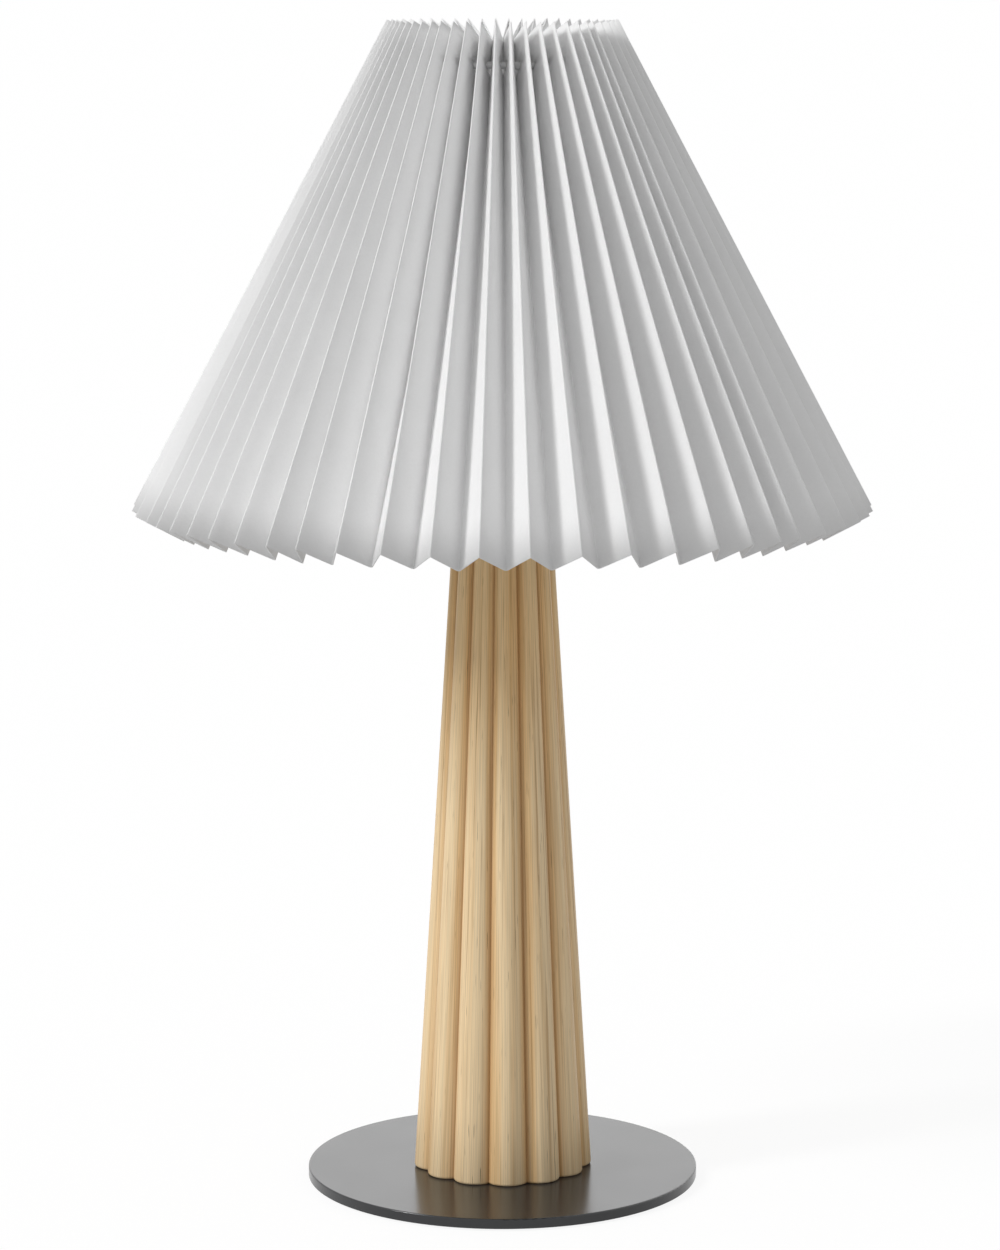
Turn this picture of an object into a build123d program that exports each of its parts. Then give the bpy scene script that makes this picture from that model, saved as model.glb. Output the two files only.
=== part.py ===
from build123d import *
import os
from math import cos, pi, radians, sin, sqrt, tan

# Wooden table lamp: a reeded wooden column on a round steel plate, an E27 lamp holder
# and a pleated shade that hangs on a wire carrier. Millimetres, +Z up, the front faces -Y.
# Angles around the lamp run from the front towards +X.

# Fits
thread_clearance = 0.05
slide_clearance = 0.2
contact_gap = 0.1

# Base plate and the pad under it
pad_thickness = 0.8
pad_margin = 3.0
plate_radius = 80.5
plate_thickness = 4.0
plate_edge_round = 0.6

# Countersunk wood screws that hold the plate
screw_count = 3
screw_shank_radius = 2.0
screw_head_radius = 4.0
screw_head_angle = 90.0
screw_length = 20.0
screw_tip_length = 3.0
screw_tip_radius = 0.5
screw_slot_width = 0.8
screw_slot_depth = 1.0

# Reeded column
column_height = 295.0
column_foot_radius = 36.8
column_neck_radius = 18.7
reed_count = 13
reed_turn = 4.0
foot_valley_depth = 4.0
neck_valley_depth = 2.0
cavity_radius = 20.0
cavity_height = 32.0

# Cable outlet in the rear reed of the foot
outlet_reed = 6
outlet_height = 14.0
outlet_seat_depth = 3.2
bush_bore_radius = 3.6
bush_wall = 1.4
bush_flange_width = 1.4
bush_flange_thickness = 1.6
bush_edge_round = 0.5
bush_setback = 0.6

# Threaded tube with its washers and nuts
tube_radius = 5.0
tube_wall = 1.2
tube_below_nut = 3.0
tube_into_holder = 7.0
nut_flats = 14.0
nut_thickness = 4.0
foot_washer_radius = 12.0
foot_washer_thickness = 2.0
top_washer_radius = 13.0
top_washer_thickness = 1.5

# E27 bulb
bulb_cap_radius = 13.2
bulb_cap_length = 22.0
bulb_cap_wall = 0.5
bulb_cap_floor = 0.8
bulb_radius = 30.0
bulb_length = 108.0
bulb_neck_radius = 13.9
bulb_neck_length = 5.0
bulb_wall = 1.6
bulb_split_drop = 8.0
bulb_spigot_length = 12.0
button_radius = 4.5
button_height = 1.5
insulator_height = 3.0
insulator_tip_radius = 6.0
insulator_top_radius = 11.5
led_board_thickness = 1.6

# Lamp holder
boss_height = 9.0
boss_radius = 11.0
terminal_height = 9.0
insert_thickness = 6.0
ledge_width = 2.4
spigot_length = 6.0
socket_clearance = 0.7
skirt_wall = 2.8
cap_wall = 2.2
skirt_thread_wall = 5.6
skirt_thread_length = 25.0
shoulder_width = 2.0
shoulder_thickness = 3.0
rim_chamfer = 0.6
tower_gap = 1.4

# Contacts, terminal screws and the screw that locks the holder on the tube
contact_thickness = 0.4
contact_width = 4.0
centre_contact_rise = 2.2
centre_contact_offset = 4.0
side_contact_height = 14.0
terminal_offset = 8.5
terminal_tab_end = 2.5
terminal_head_radius = 2.6
terminal_head_height = 1.8
terminal_shank_radius = 1.5
terminal_shank_length = 5.0
lock_screw_radius = 1.5
lock_screw_length = 4.0
lock_screw_height = 4.5

# Ring nut that clamps the shade carrier
ring_nut_height = 11.0
ring_nut_wall = 2.4
ring_nut_flange_width = 2.0
ring_nut_flange_thickness = 2.0
ring_nut_grip_count = 16
ring_nut_grip_radius = 0.8

# Wire shade carrier
wire_radius = 1.5
collar_thickness = 1.5
collar_land_width = 4.5
leg_count = 3
leg_turn = 60.0
tab_width = 7.0
bulb_clearance = 3.0
leg_reach = 7.4
leg_bend_radius = 4.0
carrier_height = 118.0

# Pleated shade
shade_foot_radius = 150.0
shade_slant = 28.5
pleat_count = 54
pleat_width = 17.5
sheet_thickness = 0.4
rim_above_slot = 12.9
slot_reach = 5.2
slot_clearance = 0.4

# Heights, from the table up
plate_bottom = pad_thickness
plate_top = plate_bottom + plate_thickness
column_top = plate_top + column_height
cavity_top = plate_top + cavity_height
foot_washer_bottom = cavity_top - foot_washer_thickness
foot_nut_bottom = foot_washer_bottom - nut_thickness
top_nut_bottom = column_top + top_washer_thickness
holder_bottom = top_nut_bottom + nut_thickness
terminal_floor = holder_bottom + boss_height
insert_bottom = terminal_floor + terminal_height
insert_top = insert_bottom + insert_thickness
shoulder_bottom = insert_top + spigot_length
shoulder_top = shoulder_bottom + shoulder_thickness
holder_top = shoulder_top + skirt_thread_length
collar_top = shoulder_top + collar_thickness
ring_height = collar_top + carrier_height
bulb_tip = shoulder_bottom + centre_contact_rise + contact_gap
bulb_cap_bottom = bulb_tip + button_height + insulator_height + contact_gap
bulb_cap_top = bulb_cap_bottom + bulb_cap_length
bulb_centre = bulb_tip + bulb_length - bulb_radius
bulb_split = bulb_centre - bulb_split_drop

# Radii of the pieces that fit into one another, from the bulb's cap outwards
socket_radius = bulb_cap_radius + socket_clearance
spigot_radius = socket_radius + skirt_wall
cap_inner_radius = spigot_radius + thread_clearance
cap_radius = cap_inner_radius + cap_wall
insert_radius = cap_inner_radius - slide_clearance
terminal_radius = insert_radius - ledge_width
tower_radius = socket_radius - tower_gap
skirt_thread_radius = socket_radius + skirt_thread_wall
shoulder_radius = skirt_thread_radius + shoulder_width
collar_bore_radius = skirt_thread_radius + slide_clearance
collar_radius = collar_bore_radius + collar_land_width
ring_nut_bore_radius = skirt_thread_radius + thread_clearance
ring_nut_radius = ring_nut_bore_radius + ring_nut_wall
ring_nut_flange_radius = ring_nut_radius + ring_nut_flange_width
thread_bore_radius = tube_radius + thread_clearance
leg_radius = bulb_radius + bulb_clearance + wire_radius
ring_radius = leg_radius + leg_reach


def direction(angle):
    """Level direction at an angle from the front towards +X."""
    return Vector(sin(radians(angle)), -cos(radians(angle)), 0)


def place(radius, sideways, angle):
    """Point at a radius and a sideways step from it, around the lamp's axis."""
    along = direction(angle + 90)
    spot = direction(angle) * radius + along * sideways
    return (spot.X, spot.Y)


def upright_plane(angle):
    """Upright plane through the lamp's axis: its x runs outwards and its y runs up."""
    outwards = direction(angle)
    return Plane(origin=(0, 0, 0), x_dir=outwards, z_dir=outwards.cross(Vector(0, 0, 1)))


# Pad under the plate
with BuildPart() as base_pad:
    with BuildSketch():
        Circle(plate_radius - pad_margin)
    extrude(amount=pad_thickness)

# Round steel plate with countersunk holes that open downwards
screw_ring_radius = (cavity_radius + column_foot_radius - foot_valley_depth) / 2
screw_spots = [place(screw_ring_radius, 0, 360 * screw / screw_count) for screw in range(screw_count)]
with BuildPart() as base_plate:
    with BuildSketch(Plane.XY.offset(plate_bottom)):
        Circle(plate_radius)
    extrude(amount=plate_thickness)
    fillet(base_plate.edges().group_by(Axis.Z)[-1], radius=plate_edge_round)
    with Locations(*[Plane(origin=(x, y, plate_bottom), z_dir=(0, 0, -1)) for x, y in screw_spots]):
        CounterSinkHole(
            screw_shank_radius + slide_clearance,
            screw_head_radius + slide_clearance,
            plate_thickness,
            screw_head_angle,
        )

# Three wood screws, driven upwards through the plate into the column
screw_head_height = (screw_head_radius - screw_shank_radius) / tan(radians(screw_head_angle / 2))
with BuildPart() as plate_screws:
    with Locations(*[(x, y, plate_bottom) for x, y in screw_spots]):
        Cone(
            screw_head_radius,
            screw_shank_radius,
            screw_head_height,
            align=(Align.CENTER, Align.CENTER, Align.MIN),
        )
        Cylinder(
            screw_shank_radius,
            screw_length - screw_tip_length,
            align=(Align.CENTER, Align.CENTER, Align.MIN),
        )
        Box(
            2 * screw_head_radius,
            screw_slot_width,
            2 * screw_slot_depth,
            mode=Mode.SUBTRACT,
        )
    with Locations(*[(x, y, plate_bottom + screw_length - screw_tip_length) for x, y in screw_spots]):
        Cone(
            screw_shank_radius,
            screw_tip_radius,
            screw_tip_length,
            align=(Align.CENTER, Align.CENTER, Align.MIN),
        )

# Reeded column: convex reeds that taper with the column, a bore, a foot cavity and a cable outlet
outlet_angle = reed_turn + outlet_reed * 360 / reed_count
taper = (column_foot_radius - column_neck_radius) / column_height
outlet_crest_radius = column_foot_radius - taper * outlet_height
outlet_seat_radius = outlet_crest_radius - outlet_seat_depth
bush_radius = bush_bore_radius + bush_wall
bush_flange_radius = bush_radius + bush_flange_width
outlet_centre = direction(outlet_angle) * outlet_seat_radius + Vector(0, 0, plate_top + outlet_height)
outlet_plane = Plane(origin=outlet_centre, x_dir=(0, 0, 1), z_dir=direction(outlet_angle))
with BuildPart() as column:
    for height, crest_radius, valley_depth in (
        (plate_top, column_foot_radius, foot_valley_depth),
        (column_top, column_neck_radius, neck_valley_depth),
    ):
        with BuildSketch(Plane.XY.offset(height)):
            with BuildLine():
                for reed in range(reed_count):
                    crest_angle = reed_turn + reed * 360 / reed_count
                    ThreePointArc(
                        place(crest_radius - valley_depth, 0, crest_angle - 180 / reed_count),
                        place(crest_radius, 0, crest_angle),
                        place(crest_radius - valley_depth, 0, crest_angle + 180 / reed_count),
                    )
            make_face()
    loft(ruled=True)
    with BuildSketch(Plane.XY.offset(plate_top)):
        Circle(cavity_radius)
    extrude(amount=cavity_height, mode=Mode.SUBTRACT)
    with BuildSketch(Plane.XY.offset(cavity_top)):
        Circle(tube_radius + slide_clearance)
    extrude(amount=column_height, mode=Mode.SUBTRACT)
    with BuildSketch(Plane.XY.offset(plate_top)):
        with Locations(*screw_spots):
            Circle(screw_shank_radius + thread_clearance)
    extrude(amount=screw_length, mode=Mode.SUBTRACT)
    with BuildSketch(outlet_plane):
        Circle(bush_radius + thread_clearance)
    extrude(amount=-outlet_seat_radius, mode=Mode.SUBTRACT)
    with BuildSketch(outlet_plane):
        Circle(bush_flange_radius + slide_clearance)
    extrude(amount=2 * outlet_seat_depth, mode=Mode.SUBTRACT)

# Flanged bush of the cable outlet
with BuildPart() as cable_bush:
    with BuildSketch(outlet_plane):
        Circle(bush_radius)
    extrude(amount=cavity_radius + bush_setback - outlet_seat_radius)
    with BuildSketch(outlet_plane):
        Circle(bush_flange_radius)
    extrude(amount=bush_flange_thickness)
    outer_edges = cable_bush.faces().sort_by(Axis((0, 0, 0), direction(outlet_angle)))[-1].edges()
    fillet(outer_edges, radius=bush_edge_round)
    with BuildSketch(outlet_plane.offset(bush_flange_thickness)):
        Circle(bush_bore_radius)
    extrude(amount=-outlet_seat_radius, mode=Mode.SUBTRACT)

# Threaded tube that ties the column to the holder
with BuildPart() as threaded_tube:
    with BuildSketch(Plane.XY.offset(foot_nut_bottom - tube_below_nut)):
        Circle(tube_radius)
        Circle(tube_radius - tube_wall, mode=Mode.SUBTRACT)
    extrude(amount=holder_bottom + tube_into_holder - foot_nut_bottom + tube_below_nut)

# Washers and nuts on the tube, inside the foot and on top of the column
with BuildPart() as foot_washer:
    with BuildSketch(Plane.XY.offset(foot_washer_bottom)):
        Circle(foot_washer_radius)
        Circle(tube_radius + slide_clearance, mode=Mode.SUBTRACT)
    extrude(amount=foot_washer_thickness)

with BuildPart() as foot_nut:
    with BuildSketch(Plane.XY.offset(foot_nut_bottom)):
        RegularPolygon(nut_flats / 2, 6, major_radius=False)
        Circle(thread_bore_radius, mode=Mode.SUBTRACT)
    extrude(amount=nut_thickness)

with BuildPart() as top_washer:
    with BuildSketch(Plane.XY.offset(column_top)):
        Circle(top_washer_radius)
        Circle(tube_radius + slide_clearance, mode=Mode.SUBTRACT)
    extrude(amount=top_washer_thickness)

with BuildPart() as top_nut:
    with BuildSketch(Plane.XY.offset(top_nut_bottom)):
        RegularPolygon(nut_flats / 2, 6, major_radius=False)
        Circle(thread_bore_radius, mode=Mode.SUBTRACT)
    extrude(amount=nut_thickness)

# Holder cap: a domed cup with a threaded boss, a terminal space and a ledge for the insert
lock_height = holder_bottom + lock_screw_height
with BuildPart() as holder_cap:
    with BuildSketch(Plane.XZ):
        with BuildLine():
            Polyline(
                (boss_radius, holder_bottom),
                (thread_bore_radius, holder_bottom),
                (thread_bore_radius, terminal_floor),
                (terminal_radius, terminal_floor),
                (terminal_radius, insert_bottom),
                (cap_inner_radius, insert_bottom),
                (cap_inner_radius, shoulder_bottom),
                (cap_radius, shoulder_bottom),
                (cap_radius, terminal_floor),
            )
            EllipticalCenterArc(
                (boss_radius, terminal_floor),
                cap_radius - boss_radius,
                boss_height,
                start_angle=270,
                arc_size=90,
            )
        make_face()
    revolve(axis=Axis.Z)
    with BuildSketch(Plane(origin=(0, 0, lock_height), x_dir=(1, 0, 0), z_dir=(0, 1, 0))):
        Circle(lock_screw_radius + thread_clearance)
    extrude(amount=cap_radius, mode=Mode.SUBTRACT)

# Small screw that locks the cap on the tube, from the back
with BuildPart() as lock_screw:
    with BuildSketch(Plane(origin=(0, tube_radius + contact_gap, lock_height), z_dir=(0, 1, 0))):
        Circle(lock_screw_radius)
    extrude(amount=lock_screw_length)
    with BuildSketch(Plane(origin=(0, tube_radius + lock_screw_length, lock_height), z_dir=(0, 1, 0))):
        Rectangle(2 * lock_screw_radius, screw_slot_width)
    extrude(amount=screw_slot_depth, both=True, mode=Mode.SUBTRACT)

# Contact strips: each has a tab under the insert and a tongue that reaches the bulb
tab_height = insert_bottom - contact_thickness / 2
side_contact_radius = bulb_cap_radius + contact_gap + contact_thickness / 2
with BuildPart() as side_contact:
    with BuildSketch(Plane.XZ):
        with BuildLine():
            Polyline(
                (terminal_offset - terminal_head_radius - terminal_tab_end / 2, tab_height),
                (side_contact_radius, tab_height),
                (side_contact_radius, insert_top + side_contact_height),
            )
        trace(line_width=contact_thickness)
    extrude(amount=contact_width / 2, both=True)
    with BuildSketch(Plane.XY.offset(tab_height)):
        with Locations((terminal_offset, 0)):
            Circle(terminal_shank_radius + slide_clearance)
    extrude(amount=contact_thickness, both=True, mode=Mode.SUBTRACT)

centre_contact_top = shoulder_bottom + centre_contact_rise - contact_thickness
with BuildPart() as centre_contact:
    with BuildSketch(Plane.XZ):
        with BuildLine():
            Polyline(
                (-terminal_offset - terminal_head_radius, tab_height),
                (-centre_contact_offset, tab_height),
                (-centre_contact_offset, shoulder_bottom + centre_contact_rise / 2),
                (0, centre_contact_top),
                (button_radius / 2, centre_contact_top),
            )
        trace(line_width=contact_thickness)
    extrude(amount=contact_width / 2, both=True)
    with BuildSketch(Plane.XY.offset(tab_height)):
        with Locations((-terminal_offset, 0)):
            Circle(terminal_shank_radius + slide_clearance)
    extrude(amount=contact_thickness, both=True, mode=Mode.SUBTRACT)

# Insulating insert that carries the contacts, with a slot for each strip
with BuildPart() as holder_insert:
    with BuildSketch(Plane.XY.offset(insert_bottom)):
        Circle(insert_radius)
    extrude(amount=insert_thickness)
    with BuildSketch(Plane.XY.offset(insert_top)):
        Circle(tower_radius)
    extrude(amount=spigot_length)
    with BuildSketch(Plane.XY.offset(insert_bottom)):
        with Locations((side_contact_radius, 0), (-centre_contact_offset, 0)):
            Rectangle(contact_thickness + contact_gap, contact_width + contact_gap)
    extrude(amount=insert_thickness + spigot_length, mode=Mode.SUBTRACT)
    with BuildSketch(Plane.XY.offset(insert_bottom)):
        with Locations((terminal_offset, 0), (-terminal_offset, 0)):
            Circle(terminal_shank_radius + thread_clearance)
    extrude(amount=terminal_shank_length, mode=Mode.SUBTRACT)

# Terminal screws, driven upwards through the tabs into the insert
terminal_head_top = insert_bottom - contact_thickness
with BuildPart() as terminal_screws:
    with BuildSketch(Plane.XY.offset(terminal_head_top)):
        with Locations((terminal_offset, 0), (-terminal_offset, 0)):
            Circle(terminal_head_radius)
    extrude(amount=-terminal_head_height)
    with BuildSketch(Plane.XY.offset(terminal_head_top)):
        with Locations((terminal_offset, 0), (-terminal_offset, 0)):
            Circle(terminal_shank_radius)
    extrude(amount=terminal_shank_length)
    with BuildSketch(Plane.XY.offset(terminal_head_top - terminal_head_height)):
        with Locations((terminal_offset, 0), (-terminal_offset, 0)):
            Rectangle(2 * terminal_head_radius, screw_slot_width)
    extrude(amount=terminal_head_height / 2, mode=Mode.SUBTRACT)

# Holder skirt: a spigot that screws into the cap, a shoulder for the carrier and an outer thread
with BuildPart() as holder_skirt:
    with BuildSketch(Plane.XZ):
        with BuildLine():
            Polyline(
                (socket_radius, insert_top),
                (spigot_radius, insert_top),
                (spigot_radius, shoulder_bottom),
                (shoulder_radius, shoulder_bottom),
                (shoulder_radius, shoulder_top),
                (skirt_thread_radius, shoulder_top),
                (skirt_thread_radius, holder_top),
                (socket_radius, holder_top),
                close=True,
            )
        make_face()
    revolve(axis=Axis.Z)
    chamfer(holder_skirt.edges().group_by(Axis.Z)[-1], length=rim_chamfer)

# Ring nut on the skirt's thread, with finger grips around its body
with BuildPart() as ring_nut:
    with BuildSketch(Plane.XY.offset(collar_top)):
        Circle(ring_nut_radius)
    extrude(amount=ring_nut_height)
    with BuildSketch(Plane.XY.offset(collar_top)):
        Circle(ring_nut_flange_radius)
    extrude(amount=ring_nut_flange_thickness)
    with BuildSketch(Plane.XY.offset(collar_top + ring_nut_flange_thickness)):
        with PolarLocations(ring_nut_radius, ring_nut_grip_count):
            Circle(ring_nut_grip_radius)
    extrude(amount=ring_nut_height, mode=Mode.SUBTRACT)
    with BuildSketch(Plane.XY.offset(collar_top)):
        Circle(ring_nut_bore_radius)
    extrude(amount=ring_nut_height, mode=Mode.SUBTRACT)

# Carrier collar: a flat ring under the ring nut, with a tab for each leg
with BuildPart() as carrier_collar:
    with BuildSketch(Plane.XY.offset(shoulder_top)):
        Circle(collar_radius)
        with PolarLocations(leg_radius / 2, leg_count, start_angle=leg_turn):
            Rectangle(leg_radius, tab_width)
        with PolarLocations(leg_radius, leg_count, start_angle=leg_turn):
            Circle(tab_width / 2)
        Circle(collar_bore_radius, mode=Mode.SUBTRACT)
    extrude(amount=collar_thickness)

# Wire ring that the shade hangs on
with BuildPart() as carrier_ring:
    with Locations((0, 0, ring_height)):
        Torus(ring_radius, wire_radius)

# Wire legs from the tabs up to the ring, coped to the ring where they are welded to it
slant = radians(shade_slant)
knee_height = ring_height - leg_reach * tan(slant)
with BuildPart() as carrier_legs:
    for leg in range(leg_count):
        leg_angle = 90 + leg_turn + leg * 360 / leg_count
        with BuildLine(upright_plane(leg_angle)) as leg_line:
            FilletPolyline(
                (leg_radius, collar_top),
                (leg_radius, knee_height),
                (ring_radius, ring_height),
                radius=leg_bend_radius,
            )
        with BuildSketch(leg_line.line ^ 0):
            Circle(wire_radius)
        sweep(path=leg_line.line)
    add(carrier_ring.part, mode=Mode.SUBTRACT)

# Bulb: contact button, insulator, screw cap, housing, light board and opal dome
with BuildPart() as bulb_button:
    with BuildSketch(Plane.XY.offset(bulb_tip)):
        Circle(button_radius)
    extrude(amount=button_height)
    fillet(bulb_button.edges().group_by(Axis.Z)[0], radius=button_height / 2)

with BuildPart() as bulb_insulator:
    with BuildSketch(Plane.XY.offset(bulb_tip + button_height)):
        Circle(insulator_tip_radius)
    with BuildSketch(Plane.XY.offset(bulb_tip + button_height + insulator_height)):
        Circle(insulator_top_radius)
    loft()

cap_shoulder = bulb_cap_radius - insulator_top_radius
with BuildPart() as bulb_cap:
    with BuildSketch(Plane.XZ):
        with BuildLine():
            Polyline(
                (0, bulb_cap_bottom),
                (insulator_top_radius, bulb_cap_bottom),
                (bulb_cap_radius, bulb_cap_bottom + cap_shoulder),
                (bulb_cap_radius, bulb_cap_top),
                (bulb_cap_radius - bulb_cap_wall, bulb_cap_top),
                (bulb_cap_radius - bulb_cap_wall, bulb_cap_bottom + cap_shoulder + bulb_cap_floor),
                (0, bulb_cap_bottom + cap_shoulder + bulb_cap_floor),
                close=True,
            )
        make_face()
    revolve(axis=Axis.Z)

bulb_split_radius = sqrt(bulb_radius**2 - bulb_split_drop**2)
bulb_neck_top = bulb_cap_top + bulb_neck_length
housing_spigot_radius = bulb_cap_radius - bulb_cap_wall - thread_clearance
split_slope = (bulb_split_drop, bulb_split_radius)
with BuildPart() as bulb_housing:
    with BuildSketch(Plane.XZ):
        with BuildLine():
            Polyline(
                (bulb_neck_radius, bulb_neck_top),
                (bulb_neck_radius, bulb_cap_top),
                (housing_spigot_radius, bulb_cap_top),
                (housing_spigot_radius, bulb_cap_top - bulb_spigot_length),
                (housing_spigot_radius - bulb_wall, bulb_cap_top - bulb_spigot_length),
                (housing_spigot_radius - bulb_wall, bulb_neck_top),
            )
            Spline(
                (bulb_neck_radius, bulb_neck_top),
                (bulb_split_radius, bulb_split),
                tangents=((0, 1), split_slope),
            )
            Line(
                (bulb_split_radius, bulb_split),
                (bulb_split_radius - 2 * bulb_wall, bulb_split),
            )
            Spline(
                (housing_spigot_radius - bulb_wall, bulb_neck_top),
                (bulb_split_radius - 2 * bulb_wall, bulb_split),
                tangents=((0, 1), split_slope),
            )
        make_face()
    revolve(axis=Axis.Z)

with BuildPart() as led_board:
    with BuildSketch(Plane.XY.offset(bulb_split)):
        Circle(bulb_split_radius - bulb_wall - slide_clearance)
    extrude(amount=led_board_thickness)

with BuildPart() as bulb_dome:
    with Locations((0, 0, bulb_centre)):
        Sphere(bulb_radius)
        Sphere(bulb_radius - bulb_wall, mode=Mode.SUBTRACT)
    split(bisect_by=Plane.XY.offset(bulb_split), keep=Keep.TOP)

# Pleated shade: outer and inner folds of constant facet width on a cone, from the carrier's ring down
half_pitch = pi / pleat_count
pitch_sag = 1 - cos(half_pitch)
slot_radius = ring_radius - slot_reach * cos(slant)
slot_height = ring_height - slot_reach * sin(slant)


def fold_depth(radius, towards):
    """Step between an outer and an inner fold, square to the slant, from one fold's radius."""
    level = radius * cos(slant) * pitch_sag
    return towards * level + sqrt(level**2 - 2 * radius**2 * pitch_sag + pleat_width**2)


foot_depth = fold_depth(shade_foot_radius, 1)
inner_foot_radius = shade_foot_radius - foot_depth * cos(slant)
inner_foot_height = slot_height - (inner_foot_radius - slot_radius) / tan(slant)
inner_top_radius = slot_radius - rim_above_slot * sin(slant)
inner_top_height = slot_height + rim_above_slot * cos(slant)
top_depth = fold_depth(inner_top_radius, -1)
outer_foot = Vector(shade_foot_radius, inner_foot_height + foot_depth * sin(slant))
inner_foot = Vector(inner_foot_radius, inner_foot_height)
outer_top = Vector(
    inner_top_radius + top_depth * cos(slant),
    inner_top_height + top_depth * sin(slant),
)
inner_top = Vector(inner_top_radius, inner_top_height)


def radius_at(foot, top, height):
    """Radius of a straight fold line at a height."""
    return foot.X + (top.X - foot.X) * (height - foot.Y) / (top.Y - foot.Y)


def skin(height, outside):
    """Corners of the folded sheet's outer or inner skin at one height, with its outer bends blunted."""
    half_sheet = sheet_thickness / 2
    peak = radius_at(outer_foot, outer_top, height)
    valley = radius_at(inner_foot, inner_top, height)
    facet = Vector(peak - valley * cos(half_pitch), valley * sin(half_pitch)).normalized()
    back_facet = Vector(peak * cos(half_pitch) - valley, peak * sin(half_pitch)).normalized()
    corners = []
    for pleat in range(pleat_count):
        peak_angle = (pleat + 0.5) * 360 / pleat_count
        valley_angle = (pleat + 1) * 360 / pleat_count
        if outside:
            blunt = half_sheet * (1 - facet.Y) / facet.X
            corners.append(place(peak + half_sheet, -blunt, peak_angle))
            corners.append(place(peak + half_sheet, blunt, peak_angle))
            corners.append(place(valley + half_sheet / back_facet.Y, 0, valley_angle))
        else:
            blunt = half_sheet * (1 - back_facet.Y) / back_facet.X
            corners.append(place(peak - half_sheet / facet.Y, 0, peak_angle))
            corners.append(place(valley - half_sheet, -blunt, valley_angle))
            corners.append(place(valley - half_sheet, blunt, valley_angle))
    return corners


rim_overrun = 2.0
with BuildPart() as pleated_shade:
    for outside in (True, False):
        for height in (inner_foot.Y - rim_overrun, outer_top.Y + rim_overrun):
            with BuildSketch(Plane.XY.offset(height)):
                with BuildLine():
                    Polyline(*skin(height, outside), close=True)
                make_face()
        loft(ruled=True, mode=Mode.ADD if outside else Mode.SUBTRACT)
    # Both rims are cut square to the slant
    square = Vector(cos(slant), sin(slant))
    with BuildSketch(Plane.XZ):
        with BuildLine():
            Polyline(
                outer_foot + square * rim_overrun,
                outer_top + square * rim_overrun,
                inner_top - square * rim_overrun,
                inner_foot - square * rim_overrun,
                close=True,
            )
        make_face()
    revolve(axis=Axis.Z, mode=Mode.INTERSECT)
    # Slots through the inner folds, where the carrier's ring passes
    with BuildSketch(Plane.XZ):
        with Locations((slot_radius, slot_height)):
            SlotCenterToCenter(
                2 * slot_reach,
                2 * (wire_radius + slot_clearance),
                rotation=shade_slant,
            )
    revolve(axis=Axis.Z, mode=Mode.SUBTRACT)

pieces = {
    "base_pad": base_pad,
    "base_plate": base_plate,
    "plate_screws": plate_screws,
    "column": column,
    "cable_bush": cable_bush,
    "threaded_tube": threaded_tube,
    "foot_washer": foot_washer,
    "foot_nut": foot_nut,
    "top_washer": top_washer,
    "top_nut": top_nut,
    "holder_cap": holder_cap,
    "lock_screw": lock_screw,
    "holder_insert": holder_insert,
    "side_contact": side_contact,
    "centre_contact": centre_contact,
    "terminal_screws": terminal_screws,
    "holder_skirt": holder_skirt,
    "ring_nut": ring_nut,
    "carrier_collar": carrier_collar,
    "carrier_legs": carrier_legs,
    "carrier_ring": carrier_ring,
    "bulb_button": bulb_button,
    "bulb_insulator": bulb_insulator,
    "bulb_cap": bulb_cap,
    "bulb_housing": bulb_housing,
    "led_board": led_board,
    "bulb_dome": bulb_dome,
    "pleated_shade": pleated_shade,
}

os.makedirs("parts", exist_ok=True)
for name, piece in pieces.items():
    piece.part.label = name
    export_step(piece.part, f"parts/{name}.step")

print(f"shade: top radius {outer_top.X:.1f}, rims at {inner_foot.Y:.1f} and {outer_top.Y:.1f}")
print(f"cable outlet: seat radius {outlet_seat_radius:.2f}, angle {outlet_angle:.2f}")
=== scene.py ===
# %% [markdown]
# # A reeded wooden table lamp with a pleated shade
# The imported lamp gives the fixed frame: every piece at its real size, in metres, with +Z up and
# the front towards -Y. This lesson dresses it, one piece or finish at a time.

# %% Load the lamp's frame
import random
from math import asin, atan2, cos, pi, radians, sin, sqrt, tan

import bmesh
import bpy
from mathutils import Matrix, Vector


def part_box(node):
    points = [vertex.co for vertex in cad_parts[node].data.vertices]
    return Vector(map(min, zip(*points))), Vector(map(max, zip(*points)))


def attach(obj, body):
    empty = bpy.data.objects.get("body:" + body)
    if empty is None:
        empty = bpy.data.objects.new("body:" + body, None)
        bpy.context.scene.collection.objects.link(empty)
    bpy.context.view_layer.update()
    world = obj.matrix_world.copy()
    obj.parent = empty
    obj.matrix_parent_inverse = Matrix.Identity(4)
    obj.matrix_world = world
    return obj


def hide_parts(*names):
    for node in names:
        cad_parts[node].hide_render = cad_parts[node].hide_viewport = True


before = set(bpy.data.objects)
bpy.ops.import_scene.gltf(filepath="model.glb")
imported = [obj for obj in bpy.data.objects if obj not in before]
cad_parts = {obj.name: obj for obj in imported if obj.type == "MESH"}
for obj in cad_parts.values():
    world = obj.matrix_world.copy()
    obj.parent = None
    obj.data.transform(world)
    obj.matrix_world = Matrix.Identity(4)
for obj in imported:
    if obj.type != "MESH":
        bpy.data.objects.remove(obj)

scene = bpy.context.scene
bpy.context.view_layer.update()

# %% [markdown]
# ## The camera
# The view is a long lens from just above the lamp's top, tilted down towards its middle. A wide
# lens close by would show the plate as a rounder ellipse and make the shade's foot look larger than
# it is. The focal length is written in pixels of the 1000 by 1250 frame, and the sensor's long side
# turns it into millimetres.

# %% Place the camera
frame_height_pixels = 1250
focal_pixels = 4133
sensor_size = 36.0
camera_distance = 1.663
camera_height = 0.496
camera_sideways = -0.001
camera_tilt = radians(9.06)
far_limit = 300.0

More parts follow.
